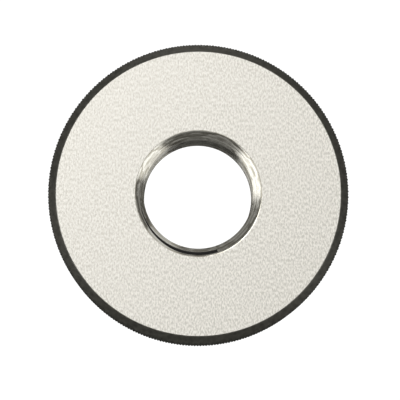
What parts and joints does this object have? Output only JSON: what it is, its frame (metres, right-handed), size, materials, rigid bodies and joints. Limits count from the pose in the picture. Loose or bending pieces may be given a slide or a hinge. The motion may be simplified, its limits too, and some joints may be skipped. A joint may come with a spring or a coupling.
{
  "type": "thread ring gauge",
  "caption": "Solid GO thread ring gauge: a knurled steel ring with ground faces and an internal fine thread for checking external threads.",
  "frame": {"origin": "centre of the lower ground face, on the axis of the thread", "axes": "+Z along the thread's axis, up out of the upper face; +X and +Y across the ring"},
  "size_m": [0.045, 0.045, 0.014],
  "materials": {
    "gauge_steel": "ground and lapped bare faces, bright countersinks and thread, black-oxide chamfers and knurled rim"
  },
  "bodies": {
    "root": {"gauge_ring": "gauge_steel"}
  },
  "joints": []
}
